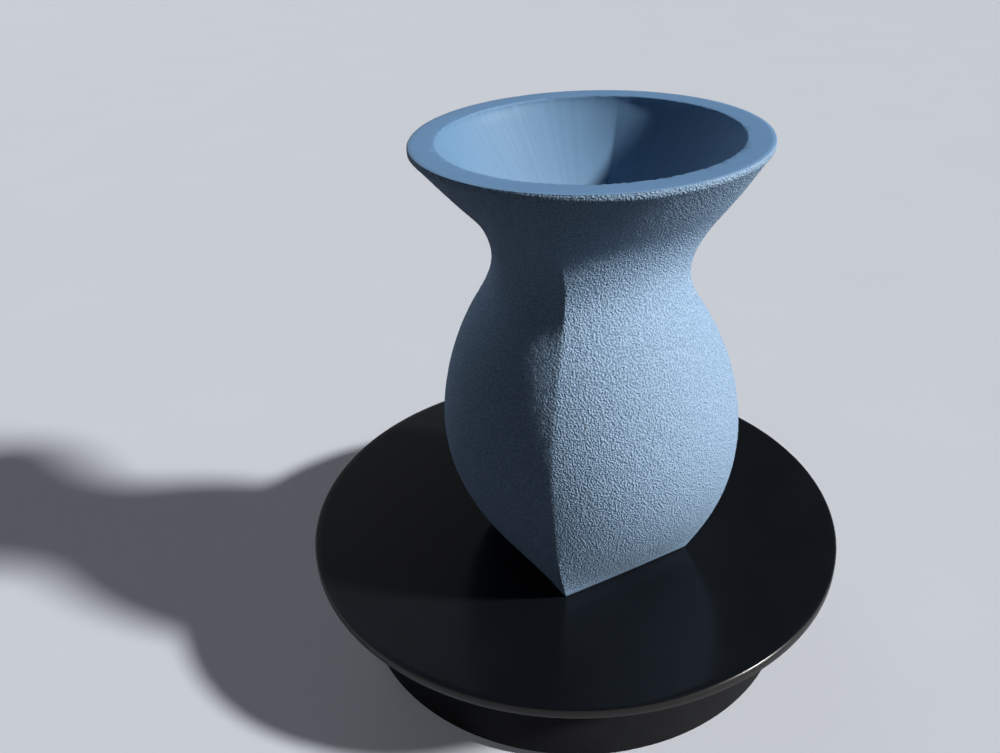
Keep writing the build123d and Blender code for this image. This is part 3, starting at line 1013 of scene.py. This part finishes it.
def backdrop_paper(stage):
    """Pale paper. It is darker for the light that it throws on the object than for the camera,
    and a little darker up the wall, which the key light meets squarely."""
    paper = Finish("backdrop_paper", specular_ior_level=0.1, emission_strength=1.0)
    places = paper.places()
    fibres = paper.noise(places, 9.0, 3.0, 0.5)
    _, _, height = paper.split(places)
    seen = paper.mixed(fibres, stage.floor_colour, scaled_colour(stage.floor_colour, 1.05))
    wall = scaled_colour(stage.floor_colour, 0.78)
    seen = paper.mixed(paper.stepped(height, 0.02, 0.7), seen, wall)
    looks = paper.add("ShaderNodeLightPath", {}, {}, "Is Camera Ray")
    mirrored = paper.add("ShaderNodeLightPath", {}, {}, "Is Glossy Ray")
    visible = looks + mirrored * 0.55
    paper.wear(paper.mixed(visible, stage.bounce_colour, seen), 0.9)
    glow = paper.mixed(visible, (0, 0, 0), scaled_colour(stage.floor_colour, 0.1))
    paper.put(glow, paper.shader.inputs["Emission Color"])
    return paper.material


def add_air(stage):
    """A faint, even blue light from all sides."""
    world = bpy.data.worlds.new("studio_air")
    world.use_nodes = True
    air = Nodes(world.node_tree)
    background = world.node_tree.nodes["Background"]
    air.put((0.8, 0.88, 1.0, 1.0), background.inputs["Color"])
    air.put(stage.sky, background.inputs["Strength"])
    bpy.context.scene.world = world


def add_camera(stage):
    """The camera, turned to the left, tilted down and leaning by the stage's angles."""
    camera = bpy.data.cameras.new("camera")
    camera.lens = stage.lens
    camera.sensor_width = 36.0
    camera.clip_start = 0.01
    forward = Vector(
        (
            -math.sin(stage.yaw) * math.cos(stage.pitch),
            math.cos(stage.yaw) * math.cos(stage.pitch),
            -math.sin(stage.pitch),
        )
    )
    right = forward.cross(Vector((0, 0, 1))).normalized()
    up = right.cross(forward)
    lean, stand = -math.sin(stage.roll), math.cos(stage.roll)
    across = right * stand + up * lean
    above = up * stand - right * lean
    turn = Matrix((across, above, -forward)).transposed().to_4x4()
    eye = bpy.data.objects.new("camera", camera)
    eye.matrix_world = Matrix.Translation(Vector(stage.eye)) @ turn
    bpy.context.scene.collection.objects.link(eye)
    bpy.context.scene.camera = eye


class VASE_OT_stage(bpy.types.Operator):
    """Set up the pale floor and backdrop, the lights and the camera"""

    bl_idname = "vase.stage"
    bl_label = "Stage"

    def execute(self, context):
        stage = context.scene.stage_settings
        context.scene.view_settings.view_transform = "Standard"
        floor = bowl_mesh("floor", stage.floor_radius, stage.bend_radius, stage.wall_height)
        floor.data.materials.append(backdrop_paper(stage))
        floor.visible_shadow = False

        key = direction_to(stage.key_side, stage.key_rise)
        sunlight("key_light", stage.key_strength, stage.key_spread, key, (1.0, 0.98, 0.95))
        behind = direction_to(stage.fill_side, stage.fill_rise)
        spread, colour = stage.fill_spread, (0.86, 0.92, 1.0)
        fill = sunlight("fill_light", stage.fill_strength, spread, behind, colour)
        fill.visible_glossy = False
        add_air(stage)
        add_camera(stage)
        return {"FINISHED"}


class VASE_PT_panel(bpy.types.Panel):
    """Lists the pieces and their settings"""

    bl_idname = "VASE_PT_panel"
    bl_label = "Printed vase"
    bl_space_type = "VIEW_3D"
    bl_region_type = "UI"
    bl_category = "Vase"

    def draw(self, context):
        for group, operators in SECTIONS:
            settings = getattr(context.scene, group)
            box = self.layout.box()
            for name in settings.__annotations__:
                box.prop(settings, name)
            for operator in operators:
                box.operator(operator.bl_idname)


SECTIONS = (
    ("vase_settings", (VASE_OT_body,)),
    ("stand_settings", (VASE_OT_plate, VASE_OT_stand, VASE_OT_screws, VASE_OT_bearing, VASE_OT_soft)),
    ("stage_settings", (VASE_OT_stage,)),
)
SETTINGS = (
    ("vase_settings", VaseSettings),
    ("stand_settings", StandSettings),
    ("stage_settings", StageSettings),
)
CLASSES = [group for _, group in SETTINGS]
CLASSES += [operator for _, operators in SECTIONS for operator in operators] + [VASE_PT_panel]


def register():
    for made in CLASSES:
        bpy.utils.register_class(made)
    for name, group in SETTINGS:
        setattr(bpy.types.Scene, name, bpy.props.PointerProperty(type=group))


def unregister():
    for name, _ in SETTINGS:
        delattr(bpy.types.Scene, name)
    for made in reversed(CLASSES):
        bpy.utils.unregister_class(made)


def main():
    """Builds every piece and the stage."""
    register()
    for _, operators in SECTIONS:
        for operator in operators:
            group, name = operator.bl_idname.split(".")
            if getattr(getattr(bpy.ops, group), name)() != {"FINISHED"}:
                raise RuntimeError(f"{operator.bl_label} wasn't finished")


if __name__ == "__main__":
    main()
